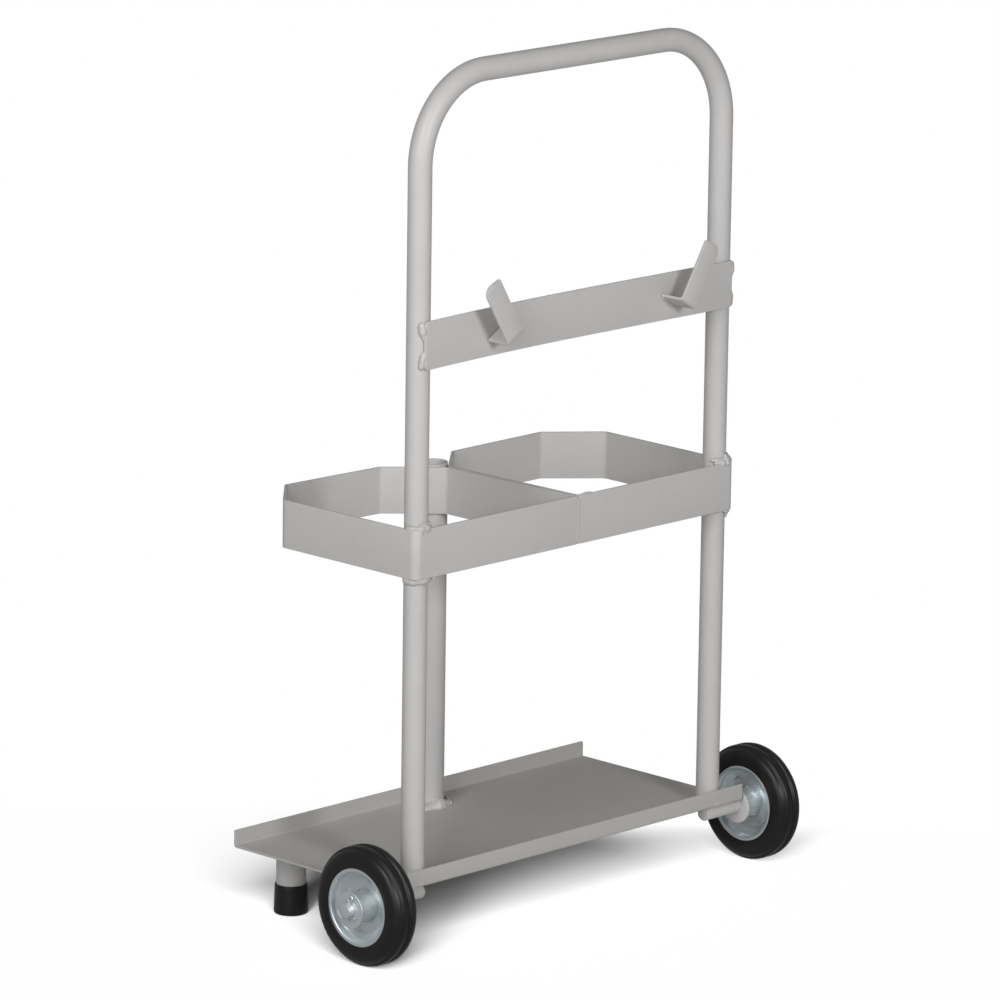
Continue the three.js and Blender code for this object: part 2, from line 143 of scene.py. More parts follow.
def bend_path(corners, radii, steps, closed=False):
    """A polyline whose corners are rounded: corner P between unit directions a and b becomes an arc
    of its radius that starts at P - a r tan(turn/2). Returns the points and their unit tangents."""
    corners = np.asarray(corners, float)
    count = len(corners)
    points, tangents = [], []
    for i in range(count):
        corner = corners[i]
        if not closed and i in (0, count - 1):
            along = corners[1] - corners[0] if i == 0 else corners[-1] - corners[-2]
            points.append(corner[None])
            tangents.append((along / np.linalg.norm(along))[None])
            continue
        into = corner - corners[i - 1]
        out = corners[(i + 1) % count] - corner
        into, out = into / np.linalg.norm(into), out / np.linalg.norm(out)
        turn = math.atan2(into[0] * out[1] - into[1] * out[0], into @ out)
        start = corner - into * radii[i] * math.tan(abs(turn) / 2)
        centre = start + np.array([-into[1], into[0]]) * math.copysign(radii[i], turn)
        angle = np.linspace(0, turn, steps + 1)[:, None]
        arm = start - centre
        cross = np.array([-arm[1], arm[0]])
        points.append(centre + arm * np.cos(angle) + cross * np.sin(angle))
        tangents.append(into * np.cos(angle) + np.array([-into[1], into[0]]) * np.sin(angle))
    return np.concatenate(points), np.concatenate(tangents)


def broken_rectangle(low, high, half, edge):
    """A rectangle from low to high across and -half to half through, its corners rounded by edge.
    low, high and edge may be arrays, one value for each station. The shape is (stations, points, 2)."""
    low, high, edge = (np.atleast_1d(np.asarray(v, float))[:, None] for v in (low, high, edge))
    half = np.atleast_1d(np.asarray(half, float))[:, None]
    quarter = np.linspace(0, np.pi / 2, EDGE_STEPS + 1)[None]
    corners = ((high - edge, half - edge, 0), (low + edge, half - edge, 1),
               (low + edge, edge - half, 2), (high - edge, edge - half, 3))
    across = [x + edge * np.cos(quarter + q * np.pi / 2) for x, _, q in corners]
    through = [y + edge * np.sin(quarter + q * np.pi / 2) for _, y, q in corners]
    return np.stack([np.concatenate(across, 1), np.concatenate(through, 1)], -1)


def carried(sections, origin, first, second):
    """A section carried along a path: origin + first u + second v at each station."""
    u, v = sections[..., 0, None], sections[..., 1, None]
    return origin[:, None] + first[:, None] * u + second[:, None] * v


def ring_quads(rows, around, closed):
    """Quads between neighbouring rings of a grid, and from the last ring to the first if closed."""
    row = np.arange(rows if closed else rows - 1)[:, None]
    column = np.arange(around)[None]
    beside = (column + 1) % around
    above = (row + 1) % rows
    return np.stack([row * around + column, row * around + beside,
                     above * around + beside, above * around + column], -1).reshape(-1, 4)


def skin(grid, closed=False):
    """A closed surface from rings of points. Its volume is the sum of a.(b x c)/6 over its
    triangles, and where that is negative every face is turned round."""
    rows, around = grid.shape[:2]
    points = grid.reshape(-1, 3)
    quads = ring_quads(rows, around, closed)
    caps = [] if closed else [np.arange(around)[::-1], np.arange((rows - 1) * around, rows * around)]
    corners = [quads[:, [0, 1, 2]], quads[:, [0, 2, 3]]]
    corners += [np.stack([np.full(around - 2, cap[0]), cap[1:-1], cap[2:]], -1) for cap in caps]
    a, b, c = (points[np.concatenate(corners)[:, k]] - points.mean(0) for k in range(3))
    if (a * np.cross(b, c)).sum() < 0:
        quads, caps = quads[:, ::-1], [cap[::-1] for cap in caps]
    return points, quads, caps


def turned(profile, centre, axis=(0, 0, 1), steps=72, closed=True):
    """A profile of (radius, along) turned about an axis: centre + axis along + radius (u cos t +
    v sin t). A closed profile makes a ring; an open one makes rings with a flat face at each end."""
    axis = np.asarray(axis, float)
    u = np.array([0.0, 1.0, 0.0]) if abs(axis[0]) > 0.5 else np.array([1.0, 0.0, 0.0])
    v = np.cross(axis, u)
    t = np.linspace(0, 2 * np.pi, steps, endpoint=False)
    spoke = u * np.cos(t)[:, None] + v * np.sin(t)[:, None]
    profile = np.asarray(profile, float)
    radius, along = profile[:, None, 0, None], profile[:, None, 1, None]
    return skin(np.asarray(centre, float) + axis * along + spoke[None] * radius, closed)


def soft_profile(corners, edge, steps):
    """A closed (radius, along) profile whose corners are all rounded by edge."""
    return bend_path(corners, [edge] * len(corners), steps, closed=True)[0]


def stock_tube(radius, centre, height):
    """A cut length of tube: its wall's rectangle, with broken edges, turned about +Z."""
    bore, edge = radius - TUBE_STOCK_WALL, 0.4
    corners = [(bore, 0), (radius, 0), (radius, height), (bore, height)]
    return turned(soft_profile(corners, edge, EDGE_STEPS), centre)


def end_break(edge):
    """Offsets from an end, and how far a section draws in there: edge (1 - cos t), edge (1 - sin t)."""
    t = np.linspace(0, np.pi / 2, EDGE_STEPS + 1)
    return edge * (1 - np.cos(t)), edge * (1 - np.sin(t))


def seam(path, radius, closed=False, squeeze=(1.0, 1.0), shape=((0, 1), (1, 1)), pitch=6.0, uneven=0.1,
         seed=0.0):
    """A weld seam: a round section carried along a path. Its radius is the shape's value at each
    share of the length, times 1 + uneven (0.6 sin(2 pi s / pitch + seed) + 0.4 sin(2.9 s / pitch +
    3 seed)), drawn in at open ends. squeeze scales the section sideways and upwards."""
    around, least = 14, 0.02
    path = np.asarray(path, float)
    step = np.roll(path, -1, 0) - np.roll(path, 1, 0) if closed else np.gradient(path, axis=0)
    tangent = step / np.linalg.norm(step, axis=1)[:, None]
    lengths = np.linalg.norm(np.diff(path, axis=0), axis=1)
    s = np.concatenate([[0], np.cumsum(lengths)])
    up = np.where(np.abs(tangent[:, 2:3]) > 0.9, np.array([[0.0, 1.0, 0.0]]), np.array([[0.0, 0.0, 1.0]]))
    first = np.cross(tangent, up)
    first /= np.linalg.norm(first, axis=1)[:, None]
    second = np.cross(first, tangent)
    shares, factors = np.array(shape, float).T
    ripple = 0.6 * np.sin(2 * np.pi * s / pitch + seed) + 0.4 * np.sin(2.9 * s / pitch + 3 * seed)
    swell = np.interp(s / s[-1], shares, factors) * (1 + uneven * ripple)
    if not closed:
        from_end = np.minimum(s, s[-1] - s)
        swell = swell * np.sqrt(np.clip(1 - (1 - np.clip(from_end / radius, 0, 1)) ** 2, least, 1))
    t = np.linspace(0, 2 * np.pi, around, endpoint=False)
    section = np.stack([squeeze[0] * np.cos(t), squeeze[1] * np.sin(t)], -1)
    sections = section[None] * (radius * swell)[:, None, None]
    return skin(carried(sections, path, first, second), closed)


def arc(centre, radius, start, end, z, steps):
    """Points on a level arc, angles in degrees from +X."""
    t = np.radians(np.linspace(start, end, steps))
    x, y = centre[0] + radius * np.cos(t), centre[1] + radius * np.sin(t)
    return np.stack([x, y, np.full(steps, float(z))], -1)


def ring(centre, radius, z):
    """Sixty points right round a level circle."""
    return arc(centre, radius, 0, 354, z, 60)


def line(start, end, steps=24):
    """Evenly spaced points from start to end."""
    share = np.linspace(0, 1, steps)[:, None]
    return np.asarray(start, float) * (1 - share) + np.asarray(end, float) * share


def make_piece(name, surfaces, finish, body, replaces=(), sharp=32):
    """One object from closed surfaces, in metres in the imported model's frame."""
    points, faces, count = [], [], 0
    for surface_points, quads, caps in surfaces:
        points.append(surface_points)
        faces += (quads + count).tolist() + [(cap + count).tolist() for cap in caps]
        count += len(surface_points)
    places = (np.concatenate(points) + [0, UPRIGHTS_Y, 0]) * METRE
    mesh = bpy.data.meshes.new(name)
    mesh.from_pydata(places.tolist(), [], faces)
    mesh.polygons.foreach_set("use_smooth", np.ones(len(mesh.polygons), bool))
    mesh.set_sharp_from_angle(angle=math.radians(sharp))
    mesh.materials.append(finish)
    piece = bpy.data.objects.new(name, mesh)
    bpy.context.scene.collection.objects.link(piece)
    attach(piece, body)
    if replaces:
        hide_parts(*replaces)


# ---- Finishes

class Amount:
    """A number that varies over a surface. Arithmetic on it adds Math nodes to its finish."""

    def __init__(self, finish, socket):
        self.finish, self.socket = finish, socket

    def _math(self, operation, first, second):
        made = self.finish.node("ShaderNodeMath", {"operation": operation}, {0: first, 1: second})
        return Amount(self.finish, made.outputs[0])

    def __add__(self, other):
        return self._math("ADD", self, other)

    def __sub__(self, other):
        return self._math("SUBTRACT", self, other)

    def __mul__(self, other):
        return self._math("MULTIPLY", self, other)

    def __rsub__(self, other):
        return self._math("SUBTRACT", other, self)

    __radd__ = __add__
    __rmul__ = __mul__

    def between(self, low, high):
        """0 below low, 1 above high and a smooth ramp from one to the other."""
        ranged = self.finish.node("ShaderNodeMapRange", {"interpolation_type": "SMOOTHSTEP"}, {
            "Value": self, "From Min": low, "From Max": high})
        return Amount(self.finish, ranged.outputs[0])


class Finish:
    """A material's nodes, on Object coordinates."""

    def __init__(self, name):
        self.material = bpy.data.materials.new(name)
        self.material.use_nodes = True
        self.tree = self.material.node_tree
        self.tree.nodes.clear()
        self.place = self.node("ShaderNodeTexCoord").outputs["Object"]

    def node(self, kind, settings=None, sockets=None):
        """Any node: its type, then its settings, then the values or links of its sockets."""
        made = self.tree.nodes.new(kind)
        for key, value in (settings or {}).items():
            setattr(made, key, value)
        for key, value in (sockets or {}).items():
            self.join(value, made.inputs[key])
        return made

    def join(self, value, target):
        """A link to a socket, or its value where nothing varies."""
        source = value.socket if isinstance(value, Amount) else value
        if isinstance(source, bpy.types.NodeSocket):
            self.tree.links.new(source, target)
        else:
            target.default_value = source

    def noise(self, scale, detail=3.0, roughness=0.5, place=None):
        """Cloudy noise, with scale features to the metre."""
        made = self.node("ShaderNodeTexNoise", None, {
            "Vector": place or self.place, "Scale": scale, "Detail": detail, "Roughness": roughness})
        return Amount(self, made.outputs["Fac"])

    def cells(self, scale):
        """A level of its own for each cell of a crystal-like pattern."""
        made = self.node("ShaderNodeTexVoronoi", None, {"Vector": self.place, "Scale": scale})
        return Amount(self, made.outputs["Color"])

    def stretched(self, scale):
        """Object coordinates scaled on each axis, for a grain that runs one way."""
        return self.node("ShaderNodeMapping", None, {"Vector": self.place, "Scale": scale}).outputs[0]

    def along(self, axis):
        """One Object coordinate, in metres."""
        split = self.node("ShaderNodeSeparateXYZ", None, {0: self.place})
        return Amount(self, split.outputs[axis])

    def blend(self, amount, first, second):
        """A colour between two colours, or links to them, by an amount."""
        def rgba(colour):
            return (*colour, 1) if isinstance(colour, tuple) else colour
        made = self.node("ShaderNodeMix", {"data_type": "RGBA"}, {0: amount, 6: rgba(first), 7: rgba(second)})
        return made.outputs[2]

    def bump(self, height, depth, strength=1.0, under=None):
        """A normal bent by a height, depth metres deep, over another bump if one is given."""
        sockets = {"Height": height, "Distance": depth, "Strength": strength}
        if under is not None:
            sockets["Normal"] = under
        return self.node("ShaderNodeBump", None, sockets).outputs[0]

    def surface(self, **sockets):
        """The finished material, from its surface's sockets with _ for a space."""
        named = {key.replace("_", " "): value for key, value in sockets.items()}
        shader = self.node("ShaderNodeBsdfPrincipled", None, named)
        self.node("ShaderNodeOutputMaterial", None, {"Surface": shader.outputs[0]})
        return self.material


def powder_coat(name, light, dark, lumps=0.0):
    """Satin grey powder coat: a slow drift of tone, fine orange peel and a little speckle."""
    finish = Finish(name)
    drift = finish.noise(5.0, 2.0).between(0.3, 0.7)
    mottle = finish.noise(60.0, 4.0).between(0.35, 0.75)
    tone = finish.blend(drift * 0.7 + mottle * 0.3, dark, light)
    peel = finish.noise(520.0, 2.0)
    speckle = finish.noise(2400.0, 1.0)
    normal = finish.bump(peel + speckle * 0.25, 0.00012, 0.6)
    if lumps:
        normal = finish.bump(finish.noise(190.0, 3.0), lumps, 1.0, normal)
    rough = 0.40 + mottle * 0.08 + speckle * 0.04
    return finish.surface(Base_Color=tone, Roughness=rough, Normal=normal, IOR=1.5)


def shaded_tray_coat():
    """The same coat on the tray in a darker, a little warmer copy: the darkness is painted shade for its top,
    which takes less light, with a slow drift and faint streaks along its length.
    """
    finish = Finish("shaded_tray_coat")
    drift = finish.noise(7.0, 3.0).between(0.3, 0.7)
    lengthwise_streaks = finish.noise(38.0, 5.0, 0.6, finish.stretched((0.12, 1.6, 1.0))).between(0.45, 0.8)
    # painted shade: these tones are darker than the frame's coat because the tray's top is less lit
    tone = finish.blend(drift * 0.6 + lengthwise_streaks * 0.4, (0.420, 0.409, 0.390), (0.452, 0.441, 0.423))
    peel = finish.noise(480.0, 2.0)
    normal = finish.bump(peel, 0.00012, 0.6)
    return finish.surface(Base_Color=tone, Roughness=0.44 + lengthwise_streaks * 0.1, Normal=normal, IOR=1.5)


def plated_steel(name, grain, rough):
    """Bright zinc: a bluish and a warmer grey in soft patches, spangle cells and turning marks."""
    finish = Finish(name)
    cast = finish.noise(55.0, 3.0).between(0.35, 0.65)
    spangle = finish.cells(420.0)
    cold = finish.blend(spangle * 0.5, (0.60, 0.67, 0.70), (0.71, 0.77, 0.80))
    tone = finish.blend(cast * 0.6, cold, (0.67, 0.68, 0.68))
    marks = finish.noise(grain, 4.0, 0.6, finish.stretched((1.0, 0.25, 0.25)))
    normal = finish.bump(marks + finish.noise(160.0, 2.0) * 0.8, 0.00013, 0.5)
    return finish.surface(Base_Color=tone, Metallic=0.85, Roughness=rough + cast * 0.1 + spangle * 0.06,
                          Normal=normal)


def moulded_rubber(name, tone, dust, rough):
    """Black rubber with a fine grain and a trace of grey dust where it meets the floor."""
    finish = Finish(name)
    patches = finish.noise(38.0, 4.0).between(0.4, 0.8)
    grain = finish.noise(1300.0, 2.0)
    low = 1 - finish.along(2).between(0.0, 0.02)
    colour = finish.blend(patches * 0.5 + low * 0.2, tone, dust)
    normal = finish.bump(grain + finish.noise(300.0, 2.0) * 0.6, 0.0001, 0.5)
    return finish.surface(Base_Color=colour, Roughness=rough + patches * 0.1, Normal=normal, IOR=1.38)


def natural_nylon():
    """Cut nylon rod: off-white, with fine turning marks."""
    finish = Finish("natural_nylon")
    cloud = finish.noise(220.0, 2.0)
    tone = finish.blend(cloud, (0.66, 0.65, 0.60), (0.74, 0.73, 0.69))
    marks = finish.noise(900.0, 2.0, 0.5, finish.stretched((1.0, 0.1, 0.1)))
    normal = finish.bump(marks, 0.0001, 0.5)
    return finish.surface(Base_Color=tone, Roughness=0.42 + cloud * 0.1, Normal=normal)


PAINT = powder_coat("frame_coat", (0.507, 0.499, 0.489), (0.474, 0.465, 0.455))
SEAM_PAINT = powder_coat("seam_coat", (0.507, 0.499, 0.489), (0.460, 0.451, 0.440), lumps=0.0009)
SHADED_TRAY_PAINT = shaded_tray_coat()
DISC_ZINC = plated_steel("pressed_zinc", 300.0, 0.28)
HUB_ZINC = plated_steel("turned_zinc", 900.0, 0.37)
TYRE_RUBBER = moulded_rubber("tyre_rubber", (0.0068, 0.0066, 0.0065), (0.0105, 0.0103, 0.0100), 0.34)
CAP_RUBBER = moulded_rubber("cap_rubber", (0.0080, 0.0080, 0.0086), (0.0110, 0.0108, 0.0110), 0.38)
NYLON = natural_nylon()


# ---- The frame's pieces

def handle_tube():
    """The bent tube: a circle carried up one upright, round two bends and down the other, and
    back again inside as the bore."""
    half = TRACK_WIDTH / 2
    foot = TRAY_TOP + SEAT_GAP
    corners = [(-half, foot), (-half, HANDLE_HEIGHT), (half, HANDLE_HEIGHT), (half, foot)]
    path, tangent = bend_path(corners, [0, HANDLE_BEND_RADIUS, HANDLE_BEND_RADIUS, 0], 28)
    origin = np.stack([path[:, 0], np.zeros(len(path)), path[:, 1]], -1)
    outward = np.stack([-tangent[:, 1], np.zeros(len(path)), tangent[:, 0]], -1)
    depth = np.tile([0.0, 1.0, 0.0], (len(path), 1))
    t = np.linspace(0, 2 * np.pi, 64, endpoint=False)
    circle = np.stack([np.cos(t), np.sin(t)], -1)
    shell = [carried(np.tile(circle * radius, (len(path), 1, 1)), origin, outward, depth)
             for radius in (TUBE_RADIUS, TUBE_RADIUS - TUBE_WALL)]
    return skin(np.concatenate([shell[0], shell[1][::-1]]), closed=True)


def corner_drop(from_end, radius):
    """How far an edge lies inside its corner's square: R - sqrt(R^2 - (R - d)^2) within R of the end."""
    inside = np.clip(radius - from_end, 0, None)
    return radius - np.sqrt(np.clip(radius ** 2 - inside ** 2, 0, None))


def bar_sag(x):
    """How far the hook bar sags at x: from its crest a parabola falls to each upright."""
    left = np.clip((HOOK_BAR_CREST_X - x) / (TRACK_WIDTH / 2 + HOOK_BAR_CREST_X), 0, None)
    right = np.clip((x - HOOK_BAR_CREST_X) / (TRACK_WIDTH / 2 - HOOK_BAR_CREST_X), 0, None)
    return -HOOK_BAR_SAG_LEFT * left ** 2 - HOOK_BAR_SAG_RIGHT * right ** 2


def hook_bar():
    """A flat bar along +X with its sag: rounded corners, and broken edges that draw the section in
    at its ends."""
    length = TRACK_WIDTH + 2 * HOOK_BAR_OVERHANG
    low, high, half = HOOK_BAR_BOTTOM, HOOK_BAR_BOTTOM + HOOK_BAR_WIDTH, BAR_THICKNESS / 2
    edge, corner = HOOK_BAR_EDGE, HOOK_BAR_CORNER
    offset, draw = end_break(edge)
    rounding = corner * (1 - np.cos(np.linspace(0, np.pi / 2, 9)))
    ends = np.unique(np.concatenate([offset, rounding, [corner + 1]]))
    middle = np.linspace(ends[-1], length - ends[-1], 60)[1:-1]
    x = np.concatenate([ends, middle, length - ends[::-1]])
    from_end = np.minimum(x, length - x)
    x = x - length / 2
    inset = np.interp(from_end, offset, draw)
    drop = corner_drop(from_end, corner) + inset * 0.4
    sections = broken_rectangle(low + drop, high - drop, half - inset, np.maximum(edge - inset, 0.02))
    origin = np.stack([x, np.full(len(x), BAR_OUTER_Y + half), bar_sag(x)], -1)
    up = np.tile([0.0, 0.0, 1.0], (len(x), 1))
    through = np.tile([0.0, 1.0, 0.0], (len(x), 1))
    return skin(carried(sections, origin, up, through))


def hose_hook(side):
    """A strip carried along an L with a rounded elbow, leaned outwards about Y. Its two long edges
    follow the tongue's outline: a slanted tip with a small and a large corner radius."""
    base = HOOK_REACH - SEAT_GAP
    half = HOOK_THICKNESS / 2
    edge = 0.6
    tongue = [(0, 0), (0, HOOK_LENGTH), (HOOK_WIDTH, HOOK_LENGTH + HOOK_TIP_SLANT), (HOOK_WIDTH, 0)]
    outline = bend_path(tongue, [0, HOOK_TIP_INNER, HOOK_TIP, 0], 14)[0]
    apex = int(np.argmax(outline[:, 1]))
    top = outline[apex, 1]
    inner, outer = outline[:apex + 1], outline[apex:][::-1]
    offset, draw = end_break(edge)
    tip = np.unique(np.concatenate([outline[1:-1, 1], top - offset]).round(3))
    elbow = [(HOOK_GAP, half), (base - half, half), (base - half, top)]
    path, tangent = bend_path(elbow, [0, HOOK_BEND - half, 0], 10)
    path = np.concatenate([path[:-1], np.stack([np.full(len(tip), base - half), tip], -1)])
    tangent = np.concatenate([tangent[:-1], np.tile([0.0, 1.0], (len(tip), 1))])
    reach = np.where(path[:, 1] > HOOK_BEND, path[:, 1], 0.0)
    inset = np.interp(top - reach, offset, draw)
    low = np.interp(reach, inner[:, 1], inner[:, 0])
    high = np.maximum(np.interp(reach, outer[:, 1], outer[:, 0]), low + 0.1)
    thin = np.minimum(inset, (high - low) / 2 - 0.04)
    sections = broken_rectangle(low + thin, high - thin, half - inset,
                                np.clip(np.minimum(edge - inset, (high - low) / 2 - thin), 0.02, None))
    lean_x = np.array([math.cos(HOOK_TILT) * side, 0.0, -math.sin(HOOK_TILT)])
    lean_z = np.array([math.sin(HOOK_TILT) * side, 0.0, math.cos(HOOK_TILT)])
    out = np.array([0.0, -1.0, 0.0])
    corner = np.array([HOOK_X * side, BAR_OUTER_Y - SEAT_GAP, HOOK_Z])
    origin = corner + out * path[:, :1] + lean_z * path[:, 1:]
    first = np.tile(lean_x, (len(path), 1))
    second = out * tangent[:, 1:] - lean_z * tangent[:, :1]
    return skin(carried(sections, origin, first, second))


def bottle_hoop(side):
    """A band carried round a closed, chamfered outline: outer face point minus its outward normal
    times the depth, with the band's width along +Z. Towards the front each edge rises by its twist
    at the post times the nearness to the middle, plus its twist at the outer corner times the rest."""
    inner_x = SEAT_GAP / 2
    front_x = HOOP_SIDE_X + HOOP_SPLAY
    across, deep = HOOP_OUTER_CUT[side]
    corners = [(inner_x, BAR_OUTER_Y), (HOOP_SIDE_X, BAR_OUTER_Y), (front_x, HOOP_FRONT_Y - deep),
               (front_x - across, HOOP_FRONT_Y), (inner_x + CHAMFER_ACROSS, HOOP_FRONT_Y),
               (inner_x, HOOP_FRONT_Y - CHAMFER_DEEP)]
    radii = [HOOP_INNER_BEND, HOOP_BEND] + [HOOP_FRONT_BEND] * 4
    path, tangent = bend_path(corners, radii, 9, closed=True)
    half = BAR_THICKNESS / 2
    normal = np.stack([tangent[:, 1], -tangent[:, 0]], -1)
    middle = path - normal * half
    level = np.zeros((len(path), 1))
    flip = np.array([side, 1.0, 1.0])
    origin = np.concatenate([middle, level], 1) * flip
    through = np.concatenate([normal, level], 1) * flip
    up = np.tile([0.0, 0.0, 1.0], (len(path), 1))
    outward = np.clip(path[:, 0] / HOOP_SIDE_X, 0, 1)
    forward = np.clip((path[:, 1] - BAR_OUTER_Y) / HOOP_DEPTH, 0, 1)
    over, under = (forward * (at_post * (1 - outward) + at_corner * outward)
                   for at_post, at_corner in HOOP_TWIST[side])
    sections = broken_rectangle(HOOP_BOTTOM + under, HOOP_TOP + over, np.full(len(path), half),
                                np.full(len(path), HOOP_EDGE))
    return skin(carried(sections, origin, up, through), closed=True)


def base_tray():
    """The folded sheet: its middle line across Y and Z, offset by half the thickness to each side
    and carried along X, with the lips' corners rounded."""
    half = TRAY_THICKNESS / 2
    corner_round = 1.4
    edge = 0.5
    offset, draw = end_break(edge)
    lip = corner_round * (1 - np.cos(np.linspace(0, np.pi / 2, 9)))
    ends = np.unique(np.concatenate([offset, lip, [corner_round + 1]]))
    x = np.concatenate([-TRAY_HALF_LENGTH + ends, TRAY_HALF_LENGTH - ends[::-1]])
    from_end = TRAY_HALF_LENGTH - np.abs(x)
    drop = corner_drop(from_end, corner_round)
    inset = np.interp(from_end, offset, draw)
    near, far = TRAY_NEAR_FOLD + half, TRAY_FAR_FOLD + half
    rings = []
    for position, lower, thin in zip(x, drop, inset):
        corners = [(half, TRAY_LIP - lower), (half, half), (TRAY_DEPTH - half, half),
                   (TRAY_DEPTH - half, TRAY_LIP - lower)]
        path, tangent = bend_path(corners, [0, near, far, 0], 8)
        normal = np.stack([-tangent[:, 1], tangent[:, 0]], -1)
        width = half - thin
        cut = max(edge - thin, 0.02)
        quarter = np.linspace(0, np.pi / 2, EDGE_STEPS + 1)[:, None]
        head, tail = tangent[-1], -tangent[0]
        nose = path[-1] - head * cut
        stern = path[0] - tail * cut
        section = np.concatenate([
            path[1:-1] + normal[1:-1] * width,
            nose + normal[-1] * (width - cut) + cut * (normal[-1] * np.cos(quarter) + head * np.sin(quarter)),
            nose - normal[-1] * (width - cut) + cut * (head * np.cos(quarter) - normal[-1] * np.sin(quarter)),
            (path[1:-1] - normal[1:-1] * width)[::-1],
            stern - normal[0] * (width - cut) + cut * (-normal[0] * np.cos(quarter) + tail * np.sin(quarter)),
            stern + normal[0] * (width - cut) + cut * (tail * np.cos(quarter) + normal[0] * np.sin(quarter)),
        ])
        rings.append(np.column_stack([np.full(len(section), position), TRAY_BACK_Y + section[:, 0],
                                      TRAY_BOTTOM + section[:, 1]]))
    return skin(np.array(rings))


make_piece("handle", [handle_tube()], PAINT, "frame", ["handle_tube"])
make_piece("hook_rail", [hook_bar()], PAINT, "frame", ["hook_bar"])
post = stock_tube(POST_RADIUS, (0, POST_Y, TRAY_TOP + SEAT_GAP), HOOP_TOP - TRAY_TOP - SEAT_GAP)
make_piece("post", [post], PAINT, "frame", ["center_post"])
make_piece("tray", [base_tray()], SHADED_TRAY_PAINT, "frame", ["base_tray"])
for name, side in SIDES:
    make_piece(name + "_hook", [hose_hook(side)], PAINT, "frame", [name + "_hose_hook"])
    make_piece(name + "_hoop", [bottle_hoop(side)], PAINT, "frame", [name + "_bottle_hoop"])
    leg_bottom = CAP_FLOOR + SEAT_GAP
    make_piece(name + "_leg", [stock_tube(LEG_RADIUS, (FOOT_X * side, FOOT_Y, leg_bottom),
                                          TRAY_BOTTOM - SEAT_GAP - leg_bottom)],
               PAINT, "frame", [name + "_foot_leg"])


# ---- Weld seams

def foot_fillet(centre, radius, floor, stations, uneven, seed):
    """A fat weld round a tube's foot: at each angle a quarter ellipse from a height up the tube to a
    reach over the floor. Both follow the stations (degrees, reach, height), times
    1 + uneven (0.6 sin(7 a + seed) + 0.4 sin(17 a + 2 seed))."""
    a = np.linspace(0, 2 * np.pi, 120, endpoint=False)
    at, reaches, heights = np.array(stations, float).T
    swell = 1 + uneven * (0.6 * np.sin(7 * a + seed) + 0.4 * np.sin(17 * a + 2 * seed))
    reach = np.interp(np.degrees(a), at, reaches, period=360) * swell
    height = np.interp(np.degrees(a), at, heights, period=360) * swell
    inside, below = 0.6, 0.3
    s = np.linspace(0, np.pi / 2, 9)[None]
    r = radius - inside + (reach + inside)[:, None] * np.sin(s)
    z = height[:, None] * np.cos(s)
    r = np.concatenate([r, r[:, -1:], r[:, :1]], 1)
    z = np.concatenate([z, np.full((len(a), 2), -below)], 1) + floor
    grid = np.stack([centre[0] + r * np.cos(a)[:, None], centre[1] + r * np.sin(a)[:, None], z], -1)
    return skin(grid, closed=True)


def bar_end_seams(side):
    """Two lumps that fill the wedge between the hook bar's end and the upright, full at the bar's
    corners and thin towards each other."""
    end_x = (TRACK_WIDTH / 2 + HOOK_BAR_OVERHANG + 1.8) * side
    sag = float(bar_sag(end_x))
    top, bottom = HOOK_BAR_BOTTOM + HOOK_BAR_WIDTH - 0.2 + sag, HOOK_BAR_BOTTOM + 0.2 + sag
    outside, under = (end_x, BAR_OUTER_Y + 4.8), (end_x - 2.6 * side, BAR_OUTER_Y + 2.4)
    return [seam(line((*outside, top), (*under, top - 21.0)), 4.5, squeeze=(1.0, 0.95),
                 shape=((0, 0.9), (0.15, 1), (0.55, 0.95), (1, 0.3)), pitch=11.0, uneven=0.08, seed=1.9),
            seam(line((*outside, bottom), (*under, bottom + 20.0)), 4.0, squeeze=(1.0, 0.9),
                 shape=((0, 0.7), (0.3, 0.95), (0.7, 1), (1, 0.4)), pitch=9.0, uneven=0.1, seed=0.3)]


